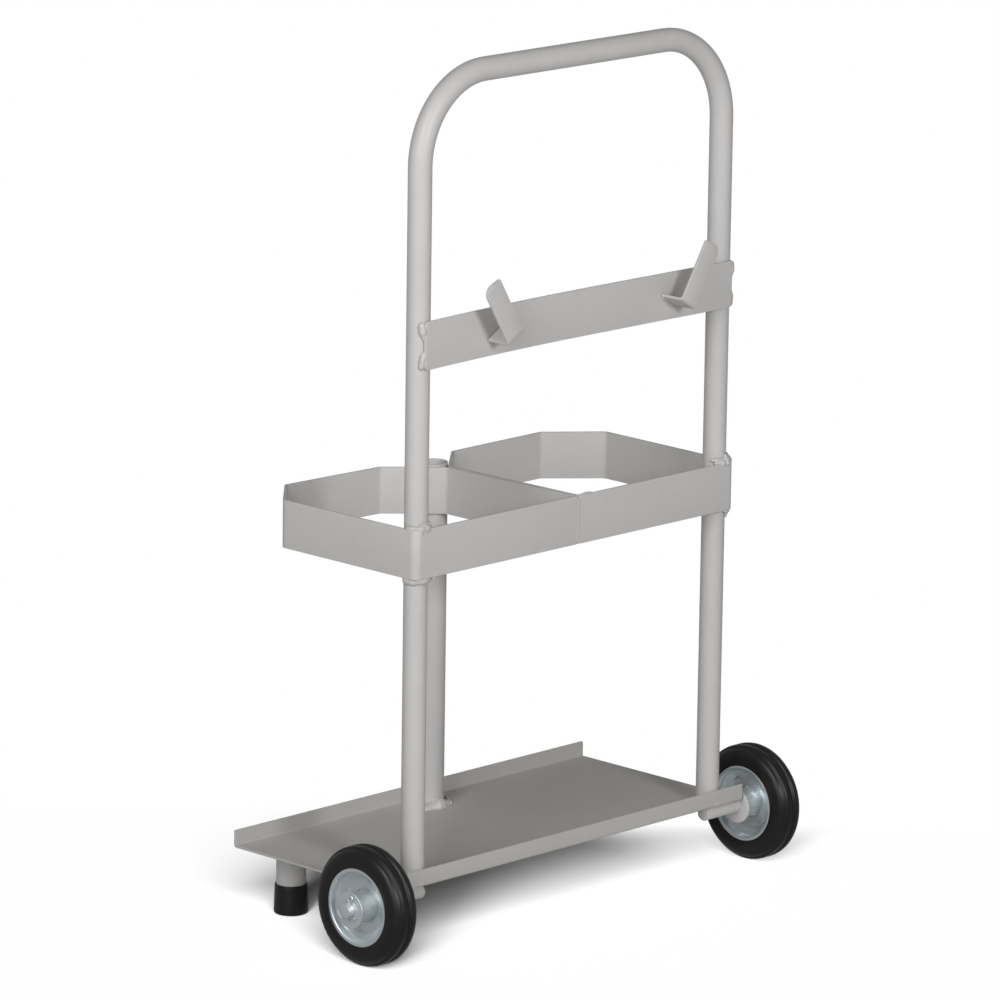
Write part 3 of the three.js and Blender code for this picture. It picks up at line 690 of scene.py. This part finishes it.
def hoop_seams(side):
    """The welds between an upright and the hoop folded round it: three lumpy seams on top and one
    that runs down the outside. Below, the left hoop has a smooth collar with a fillet that thins out
    along the near run; the right one is piled up at its outer corner, above and below."""
    upright = (TRACK_WIDTH / 2 * side, 0.0)

    def around(radius, start, end, z, steps=40):
        # degrees from -Y, positive towards the cart's outer side
        return arc(upright, radius, -90 + start * side, -90 + end * side, z, steps)

    inner_x, near_y = (TRACK_WIDTH / 2 - 11.5) * side, BAR_INNER_Y
    drop_x, drop_y = (TRACK_WIDTH / 2 + 8.0) * side, BAR_OUTER_Y + 0.3
    share = np.linspace(0, 1, 30)
    hollow = np.stack([inner_x - 10.0 * share * side, near_y + 0.4 - 1.2 * share,
                       HOOP_BOTTOM - 3.6 * (1 - share) ** 2 + 0.9 * share], -1)
    seams = [
        seam(around(13.9, -48, 90, HOOP_TOP + 0.4), 3.3, pitch=8.5, uneven=0.3, seed=1.1),
        seam(around(13.2, -66, 30, HOOP_TOP + 3.4, 30), 2.4, pitch=8.0, uneven=0.24, seed=2.0),
        seam(around(15.0, -34, 66, HOOP_TOP - 1.5, 30), 2.3, squeeze=(0.75, 1.5), pitch=8.0, uneven=0.3,
             seed=0.6),
        seam(line((drop_x, drop_y, HOOP_TOP + 0.6), (drop_x - 0.8 * side, drop_y, HOOP_TOP - 7.0), 16), 1.9,
             squeeze=(0.8, 1.0), shape=((0, 1), (0.5, 0.85), (1, 0.5))),
    ]
    if side < 0:
        seams += [
            seam(around(13.7, -62, 112, HOOP_BOTTOM - 2.2), 2.6, squeeze=(0.95, 1.7), pitch=13.0, seed=0.4),
            seam(hollow, 2.6, squeeze=(0.6, 1.0), shape=((0, 1.2), (0.3, 0.8), (1, 0.42)), pitch=14.0,
                 uneven=0.04),
        ]
    else:
        above = ((15.8, 2, 92, 0.4, 3.4), (14.6, 0, 82, 3.6, 3.0), (13.2, 4, 70, 6.8, 2.6))
        below = ((13.4, -34, 0.4, 2.2), (15.2, 6, 1.4, 2.8), (14.2, 14, 4.8, 2.5), (13.0, 22, 8.2, 2.0))
        thin_start = ((0, 0.5), (0.6, 1), (1, 1))
        for radius, start, end, rise, size in above:
            bead = around(radius, start, end, HOOP_TOP + rise, 20)
            seams.append(seam(bead, size, pitch=7.0, uneven=0.2, seed=rise))
        for radius, start, drop, size in below:
            bead = around(radius, start, 92, HOOP_BOTTOM - drop, 24)
            seams.append(seam(bead, size, shape=thin_start, pitch=8.0, uneven=0.16, seed=drop))
    return seams


def frame_seams(name, side):
    """Every seam on one side of the cart."""
    upright = (TRACK_WIDTH / 2 * side, 0.0)
    foot = seam(ring(upright, TUBE_RADIUS + 1.1, TRAY_TOP + 1.2), 2.3, closed=True, pitch=9.0, uneven=0.14,
                seed=0.7)
    lean = np.array([math.sin(HOOK_TILT) * side, 0.0, math.cos(HOOK_TILT)])
    across = np.array([math.cos(HOOK_TILT) * side, 0.0, -math.sin(HOOK_TILT)])
    corner = np.array([HOOK_X * side, BAR_OUTER_Y - 0.9, HOOK_Z]) - lean * 0.5
    hook = seam(line(corner + across * 1.2, corner + across * (HOOK_WIDTH - 1.2)), 1.3, pitch=7.0, seed=0.9)
    post_x, post_y = 11.6 * side, POST_Y - 12.2
    post = seam(line((post_x, post_y, HOOP_BOTTOM + 1), (post_x, post_y, HOOP_TOP - 4.0), 40), 2.5, pitch=8.0,
                uneven=0.12, seed=0.2)
    leg = seam(ring((FOOT_X * side, FOOT_Y), LEG_RADIUS + 0.9, TRAY_BOTTOM - 0.9), 2.0, closed=True,
               pitch=8.0, uneven=0.12, seed=0.5)
    stub_from, stub_to, stub_z = 222 * side, 262 * side, TRAY_BOTTOM - 1.6
    stub = [seam(line((stub_from, WHEEL_Y + reach, stub_z), (stub_to, WHEEL_Y + reach, stub_z), 40), 2.3,
                 pitch=8.0, uneven=0.14, seed=reach) for reach in (-5.4, 5.4)]
    make_piece(name + "_seams", [foot, hook, post, leg, *stub, *bar_end_seams(side), *hoop_seams(side)],
               SEAM_PAINT, "frame", sharp=60)


for name, side in SIDES:
    frame_seams(name, side)
middle_seams = [
    foot_fillet((0, POST_Y), POST_RADIUS, TRAY_TOP, [
        (0, 6.5, 4), (40, 7, 4.5), (100, 6, 5), (160, 7, 5), (200, 9, 5), (217, 12.5, 5.5), (236, 8, 7),
        (255, 8.5, 9.5), (270, 7.5, 10), (290, 7, 8), (308, 7.5, 5), (331, 6.5, 4)], 0.10, 0.4),
    seam(line((24.5, POST_Y + 1.0, TRAY_TOP + 3.4), (15.5, POST_Y - 19.0, TRAY_TOP + 0.9), 26), 1.9,
         squeeze=(0.8, 1.4), shape=((0, 0.7), (0.4, 1), (1, 0.9)), pitch=14.0, uneven=0.05, seed=0.9),
    seam(line((-2, BAR_OUTER_Y + 1.5, HOOP_TOP + 0.1), (20, BAR_OUTER_Y + 1.5, HOOP_TOP + 0.1)), 1.9,
         shape=((0, 0.5), (0.6, 1), (1, 0.8)), pitch=11.0, uneven=0.14, seed=0.8),
    seam(line((0, BAR_OUTER_Y + 1.7, HOOP_BOTTOM + 1.2), (0, BAR_OUTER_Y + 1.7, HOOP_TOP - 1.2), 40), 1.85,
         squeeze=(3.0, 1.0), uneven=0.0),
]
make_piece("middle_seams", middle_seams, SEAM_PAINT, "frame", sharp=60)


# ---- Wheels, axles and feet

def tyre_profile():
    """Half of the tyre's section, from the middle groove out to the bead, then mirrored: two ribs
    with a wide groove between them, a narrow step at the shoulder and a smooth bulging sidewall."""
    tread = WHEEL_RADIUS
    half = np.array([
        (tread - 2.3, 0.0), (tread - 2.25, 0.9), (tread - 1.9, 1.6), (tread - 0.7, 2.6), (tread - 0.15, 3.2),
        (tread, 4.0), (tread - 0.1, 6.4), (tread - 0.5, 8.4), (tread - 1.1, 9.5), (tread - 2.0, 10.1),
        (tread - 3.0, 10.5), (tread - 3.5, 11.1), (tread - 3.7, 11.8), (tread - 4.2, 12.9),
        (tread - 5.2, 14.1), (tread - 6.8, 15.3), (tread - 8.8, 16.2), (tread - 11.2, 16.8),
        (tread - 13.8, 17.1), (tread - 17.0, 17.1), (tread - 19.8, 16.8), (tread - 21.4, 16.5),
        (42.7, 16.3), (42.3, 15.9), (42.3, 14.2), (39.5, 14.2), (39.4, 8.0), (39.4, 0.0)])
    mirrored = half[1:-1][::-1] * [1, -1]
    return np.concatenate([half, mirrored])


def pressed_disc(side, facing, first_lance):
    """A disc turned from its section. At each of four lances its outer face rises by
    h u (1 - v^2)^2, with u the share across the lance and v the share along it, and drops into a
    narrow slot beyond."""
    edge = HUB_RADIUS + SEAT_GAP
    lance_in, lance_out, slot_out = 23.2, 29.0, 30.0
    lance_rise, slot_drop, half_turn = 1.9, 1.1, math.radians(13.6)
    face = np.array([
        (42.0, 14.6), (42.1, 15.1), (41.9, 15.7), (41.3, 16.0), (40.2, 16.05), (38.9, 15.8), (38.2, 15.2),
        (37.8, 14.2), (37.6, 12.8), (37.4, 11.2), (37.2, 9.8), (36.8, 8.8), (36.1, 8.15), (35.2, 7.6),
        (33.6, 6.2), (31.6, 4.4), (30.4, 3.45), (29.9, 3.1), (29.6, 2.9), (29.2, 2.65), (28.95, 2.5),
        (28.0, 2.1), (26.8, 1.78), (25.5, 1.68), (24.3, 1.65), (23.2, 1.65), (21.5, 1.65), (18.6, 1.65),
        (18.1, 1.45), (17.8, 0.8), (17.5, 0.5), (edge, 0.45)])
    back = np.array([
        (edge, 0.15), (24.5, 0.15), (27.5, 0.2), (29.4, 0.9), (31.0, 2.0), (34.9, 5.2), (37.2, 7.4),
        (38.5, 9.2), (39.0, 11.0), (39.1, 13.2), (39.4, 14.3), (40.2, 14.55)])
    profile = np.concatenate([face, back])
    steps = 288
    t = np.linspace(0, 2 * np.pi, steps, endpoint=False)
    radius = np.tile(profile[:, 0], (steps, 1))
    along = np.tile(profile[:, 1], (steps, 1))
    outer = np.arange(len(profile))[None] < len(face)
    share = np.clip((radius - lance_in) / (lance_out - lance_in), 0, 1) * (radius < lance_out) * outer
    slot = (radius > lance_out) * (radius < slot_out) * outer
    for middle in np.radians(first_lance + np.array([0, 90, 180, 270])):
        turn = (t - middle + np.pi) % (2 * np.pi) - np.pi
        v = np.clip(turn / half_turn, -1, 1)[:, None]
        along = along + (lance_rise * share - slot_drop * slot) * (1 - v ** 2) ** 2
    axis = np.array([facing * side, 0.0, 0.0])
    y, z = np.cos(t)[:, None], np.sin(t)[:, None]
    centre = np.array([WHEEL_X * side, WHEEL_Y, WHEEL_RADIUS])
    grid = centre + axis * along[..., None] + np.stack([np.zeros_like(radius), radius * y, radius * z], -1)
    return skin(grid, closed=True)


def split_pin(side):
    """A wire pin that leans about X: an oval eye over the axle, and two tails wrapped back round it
    below. Both halves are one round section carried along a path of points."""
    lean, wire_radius, half_gap = math.radians(17), 0.78, 0.75
    leaned = np.array([[math.cos(lean), math.sin(lean)], [-math.sin(lean), math.cos(lean)]])
    eye = np.radians(np.linspace(-60, 240, 22))
    loop = np.stack([3.2 * np.cos(eye), AXLE_RADIUS + 5.6 + 3.4 * np.sin(eye)], -1) @ leaned
    shank = np.array([(half_gap, -AXLE_RADIUS - 0.8), (half_gap, AXLE_RADIUS + 1.2)])
    near_tail = bend_path([(14.6, -2.2), (12.0, -7.4), (6.4, -11.0), (4.2, -9.6)], [0, 2, 1.2, 0], 4)[0]
    far_tail = bend_path([(1.4, -9.9), (-2.6, -11.4), (-7.4, -9.8), (-11.2, -6.4)], [0, 1.2, 2, 0], 4)[0]
    flat = np.concatenate([near_tail, shank @ leaned, loop, (shank * [-1, 1])[::-1] @ leaned, far_tail])
    centre = np.array([PIN_X * side, WHEEL_Y, WHEEL_RADIUS])
    path = centre + np.stack([np.zeros(len(flat)), flat[:, 0], flat[:, 1]], -1)
    tangent = np.gradient(path, axis=0)
    tangent /= np.linalg.norm(tangent, axis=1)[:, None]
    first = np.tile([1.0, 0.0, 0.0], (len(path), 1))
    second = np.cross(tangent, first)
    t = np.linspace(0, 2 * np.pi, 12, endpoint=False)
    section = np.tile(np.stack([np.cos(t), np.sin(t)], -1) * wire_radius, (len(path), 1, 1))
    return skin(carried(section, path, first, second))


def plain_ring(side, inner, outer, start, end, edge, hang=0.0):
    """A washer, collar, hub or bush: a rectangle with broken edges turned about the axle, or a
    little lower where it hangs."""
    corners = [(inner, start), (outer, start), (outer, end), (inner, end)]
    centre = (0.0, WHEEL_Y + hang / 2, WHEEL_RADIUS - hang)
    return turned(soft_profile(corners, edge, 4), centre, (side, 0, 0))


for name, side in SIDES:
    wheel = name + "_wheel"
    hub_start, hub_end = WHEEL_X - HUB_INWARDS, WHEEL_X + HUB_OUTWARDS
    axis = (side, 0, 0)
    hub_centre = (WHEEL_X * side, WHEEL_Y, WHEEL_RADIUS)
    make_piece(name + "_tyre_moulded", [turned(tyre_profile(), hub_centre, axis, 192)], TYRE_RUBBER, wheel,
               [name + "_tyre"], sharp=50)
    make_piece(name + "_disc_out", [pressed_disc(side, 1, 17)], DISC_ZINC, wheel,
               [name + "_outer_disc"], sharp=40)
    make_piece(name + "_disc_in", [pressed_disc(side, -1, 49)], DISC_ZINC, wheel,
               [name + "_inner_disc"], sharp=40)
    hub_bore, on_axle = HUB_RADIUS - HUB_WALL, AXLE_RADIUS + AXLE_PLAY
    hub = plain_ring(side, hub_bore, HUB_RADIUS, hub_start, hub_end, 0.7)
    make_piece(name + "_hub_tube", [hub], HUB_ZINC, wheel, [name + "_hub"])
    bush = plain_ring(side, on_axle, hub_bore - SEAT_GAP, hub_end - BUSH_LENGTH, hub_end, 0.3)
    make_piece(name + "_bush_out", [bush], NYLON, wheel, [name + "_outer_bush"])
    bush = plain_ring(side, on_axle, hub_bore - SEAT_GAP, hub_start, hub_start + BUSH_LENGTH, 0.3)
    make_piece(name + "_bush_in", [bush], NYLON, wheel, [name + "_inner_bush"])
    washer = plain_ring(side, on_axle, WASHER_RADIUS, WASHER_FROM, WASHER_TO, 0.6)
    make_piece(name + "_washer", [washer], HUB_ZINC, "frame", [name + "_hub_washer"])
    collar = plain_ring(side, AXLE_RADIUS - 1.0, COLLAR_RADIUS, COLLAR_FROM, COLLAR_TO, 1.0, hang=COLLAR_HANG)
    make_piece(name + "_collar", [collar], PAINT, "frame", [name + "_axle_collar"])
    axle_centre = (0.0, WHEEL_Y, WHEEL_RADIUS)
    paint_ends = (AXLE_RADIUS, COLLAR_FROM + 1.0)
    painted = [(AXLE_RADIUS - 1.0, AXLE_INNER_END), (AXLE_RADIUS - 0.4, AXLE_INNER_END + 0.3),
               (AXLE_RADIUS, AXLE_INNER_END + 1.0), paint_ends]
    bright = [paint_ends, (AXLE_RADIUS, AXLE_OUTER_END - 1.3), (AXLE_RADIUS - 0.4, AXLE_OUTER_END - 0.4),
              (AXLE_RADIUS - 1.2, AXLE_OUTER_END)]
    make_piece(name + "_axle_root", [turned(painted, axle_centre, axis, 64, closed=False)], PAINT, "frame",
               [name + "_axle"])
    make_piece(name + "_axle_end", [turned(bright, axle_centre, axis, 64, closed=False)], HUB_ZINC, "frame",
               [name + "_axle"])
    make_piece(name + "_pin", [split_pin(side)], HUB_ZINC, "frame", [name + "_split_pin"])
    bore = LEG_RADIUS + SEAT_GAP
    cup = np.array([
        (CAP_BASE_RADIUS - 3.2, 0.0), (CAP_BASE_RADIUS - 1.4, 0.35), (CAP_BASE_RADIUS - 0.35, 1.3),
        (CAP_BASE_RADIUS, 2.8), (CAP_BASE_RADIUS - 0.02, 5.0), (CAP_TOP_RADIUS + 0.1, CAP_HEIGHT - 2.4),
        (CAP_TOP_RADIUS, CAP_HEIGHT - 1.0), (CAP_TOP_RADIUS - 0.4, CAP_HEIGHT - 0.2),
        (CAP_TOP_RADIUS - 0.9, CAP_HEIGHT), (bore + 0.1, CAP_HEIGHT - 0.3), (bore, CAP_HEIGHT - 1.0),
        (bore, CAP_FLOOR)])
    make_piece(name + "_cap", [turned(cup, (FOOT_X * side, FOOT_Y, 0), closed=False)], CAP_RUBBER, "frame",
               [name + "_foot_cap"], sharp=50)


# ---- Camera, floor and lamps

def photograph_camera():
    """The camera of the photograph: turned and pitched about the point it looks at, then rolled."""
    yaw, pitch, roll = (math.radians(a) for a in (-45.753, 13.203, 0.808))
    distance, target = 7.40957, Vector((-0.10397, -0.08155, 0.46890))
    back = Vector((math.sin(yaw) * math.cos(pitch), -math.cos(yaw) * math.cos(pitch), math.sin(pitch)))
    right = (-back).cross(Vector((0, 0, 1))).normalized()
    up = right.cross(-back)
    across = right * math.cos(roll) + up * math.sin(roll)
    upwards = up * math.cos(roll) - right * math.sin(roll)
    data = bpy.data.cameras.new("camera")
    sensor, widths_away = 36.0, 7.037625  # the focal length in widths of the picture
    data.sensor_width, data.lens = sensor, widths_away * sensor
    data.clip_end = 100.0
    camera = bpy.data.objects.new("camera", data)
    place = target + back * distance
    camera.matrix_world = Matrix((
        (across.x, upwards.x, back.x, place.x), (across.y, upwards.y, back.y, place.y),
        (across.z, upwards.z, back.z, place.z), (0, 0, 0, 1)))
    bpy.context.scene.collection.objects.link(camera)
    bpy.context.scene.camera = camera


def aim(obj, place, target):
    """Puts a lamp in the scene, with its -Z towards the target."""
    obj.location = place
    obj.rotation_euler = (Vector(place) - Vector(target)).to_track_quat("Z", "Y").to_euler()
    bpy.context.scene.collection.objects.link(obj)


def soft_box(name, place, power, width):
    """A square lamp, in watts and metres, that points at the cart's middle."""
    data = bpy.data.lights.new(name, "AREA")
    data.shape, data.size, data.energy = "SQUARE", width, power
    lamp = bpy.data.objects.new(name, data)
    aim(lamp, place, (0, 0, 0.4))
    return lamp


def distant_lamp(name, azimuth, elevation, strength, spread):
    """A lamp at infinity that fills a disc of the sky, spread degrees across."""
    data = bpy.data.lights.new(name, "SUN")
    data.energy, data.angle = strength, math.radians(spread)
    lamp = bpy.data.objects.new(name, data)
    aim(lamp, from_side(azimuth, elevation, 4.0, (0, 0, 0)), (0, 0, 0))
    return lamp


def from_side(azimuth, elevation, distance, target=(0, -0.05, 0.4)):
    """A place at a distance, azimuth in degrees from -Y towards -X, elevation over the floor."""
    a, e = math.radians(azimuth), math.radians(elevation)
    level, rise = distance * math.cos(e), distance * math.sin(e)
    return target[0] - level * math.sin(a), target[1] - level * math.cos(a), target[2] + rise


def pale_floor():
    """A floor that the camera sees as white, with a shadow that fades out behind the cart and to its
    right, and that lights the cart as a darker one. Its three tones are what the camera sees, what
    shows in the zinc and what lights the cart."""
    mesh = bpy.data.meshes.new("floor")
    reach, level = 40.0, -0.0002
    corners = ((-1, -1), (1, -1), (1, 1), (-1, 1))
    mesh.from_pydata([(x * reach, y * reach, level) for x, y in corners], [], [(0, 1, 2, 3)])
    floor = bpy.data.objects.new("floor", mesh)
    bpy.context.scene.collection.objects.link(floor)
    finish = Finish("floor")
    rays = finish.node("ShaderNodeLightPath").outputs
    shown, mirrored, lit_by = (
        finish.node("ShaderNodeBsdfDiffuse", None, {"Color": (tone, tone, tone, 1)}).outputs[0]
        for tone in (0.34, 0.12, 0.17))
    away = (finish.along(0) + finish.along(1)) * math.sqrt(0.5)
    faded = away.between(0.20, 0.36) + finish.along(0).between(0.19, 0.31) * 0.5
    white = finish.node("ShaderNodeEmission", None, {"Strength": 1.0}).outputs[0]
    shown = finish.node("ShaderNodeMixShader", None, {0: faded, 1: shown, 2: white}).outputs[0]
    seen = finish.node("ShaderNodeMixShader", None, {0: rays["Is Glossy Ray"], 1: lit_by, 2: mirrored})
    mixed = finish.node("ShaderNodeMixShader", None, {0: rays["Is Camera Ray"], 1: seen.outputs[0], 2: shown})
    finish.node("ShaderNodeOutputMaterial", None, {"Surface": mixed.outputs[0]})
    mesh.materials.append(finish.material)
    return floor


def studio_world():
    """White where the camera sees it, dimmer in reflections and dim as light."""
    world = bpy.data.worlds.new("studio")
    world.use_nodes = True
    tree = world.node_tree
    tree.nodes.clear()
    rays = tree.nodes.new("ShaderNodeLightPath").outputs
    shades = []
    for strength in (0.05, 0.34, 1.0):
        shade = tree.nodes.new("ShaderNodeBackground")
        shade.inputs["Color"].default_value = (1.0, 1.0, 1.0, 1)
        shade.inputs["Strength"].default_value = strength
        shades.append(shade.outputs[0])
    for chosen, shade in (("Is Glossy Ray", shades[1]), ("Is Camera Ray", shades[2])):
        mixed = tree.nodes.new("ShaderNodeMixShader")
        tree.links.new(rays[chosen], mixed.inputs[0])
        tree.links.new(shades[0], mixed.inputs[1])
        tree.links.new(shade, mixed.inputs[2])
        shades[0] = mixed.outputs[0]
    tree.links.new(shades[0], tree.nodes.new("ShaderNodeOutputWorld").inputs[0])
    bpy.context.scene.world = world


def light_only(name, lamps, receivers):
    """Lamps that light the given objects and nothing else."""
    group = bpy.data.collections.new(name)
    for obj in receivers:
        group.objects.link(obj)
    for lamp in lamps:
        lamp.light_linking.receiver_collection = group


photograph_camera()
studio_world()
floor = pale_floor()
# Where each lamp is: from_side takes its azimuth and height in degrees and its distance in metres
key = soft_box("key", from_side(16.4, 20.5, 5.0), 114.5, 1.1)
front = soft_box("front", from_side(66, 15, 4.0), 43.0, 1.8)
upper = soft_box("upper", from_side(70, 40, 4.0), 52.0, 1.4)
high = distant_lamp("high", 45, 28, 14.4, 34)
low = distant_lamp("low", 60, 12, 10.6, 14)
shapes = [obj for obj in bpy.context.scene.objects if obj.type == "MESH" and obj != floor]
light_only("cart_only", (key, front, upper), shapes)
light_only("floor_only", (high, low), [floor])
bpy.context.scene.view_settings.view_transform = "Standard"
